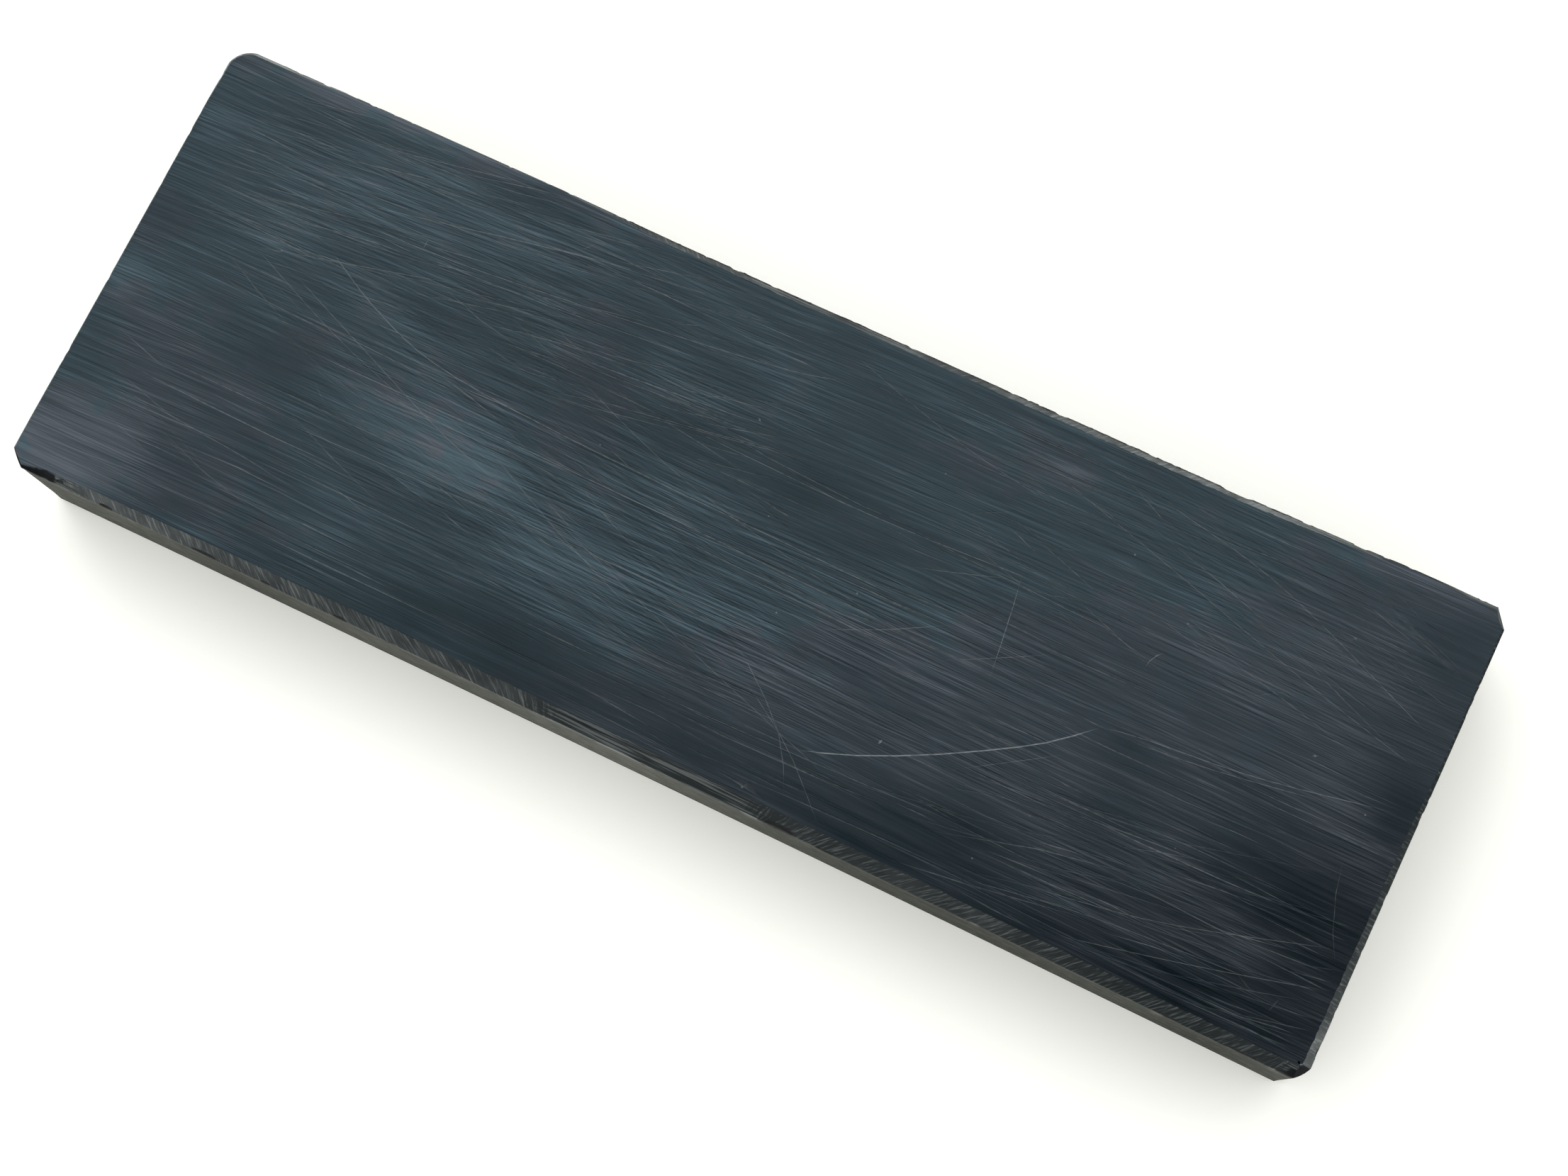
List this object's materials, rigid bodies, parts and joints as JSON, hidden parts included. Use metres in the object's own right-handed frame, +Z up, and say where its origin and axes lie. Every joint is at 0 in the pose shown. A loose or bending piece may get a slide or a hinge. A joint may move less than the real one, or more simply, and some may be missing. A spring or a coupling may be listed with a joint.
{
  "type": "leatherworking stone slab",
  "caption": "Solid rectangular stone slab with a flat lapped working face, hand-ground upper chamfers and clipped corners, used as a hard flat base for leatherwork.",
  "frame": {"origin": "middle of the underside, on the surface that the slab rests on", "axes": "+X along the length, +Y across the width towards the narrowly chamfered long side, +Z up out of the working face"},
  "size_m": [0.2, 0.07, 0.02],
  "materials": {
    "stone": "satin"
  },
  "bodies": {
    "root": {"stone_slab": "stone"}
  },
  "joints": []
}
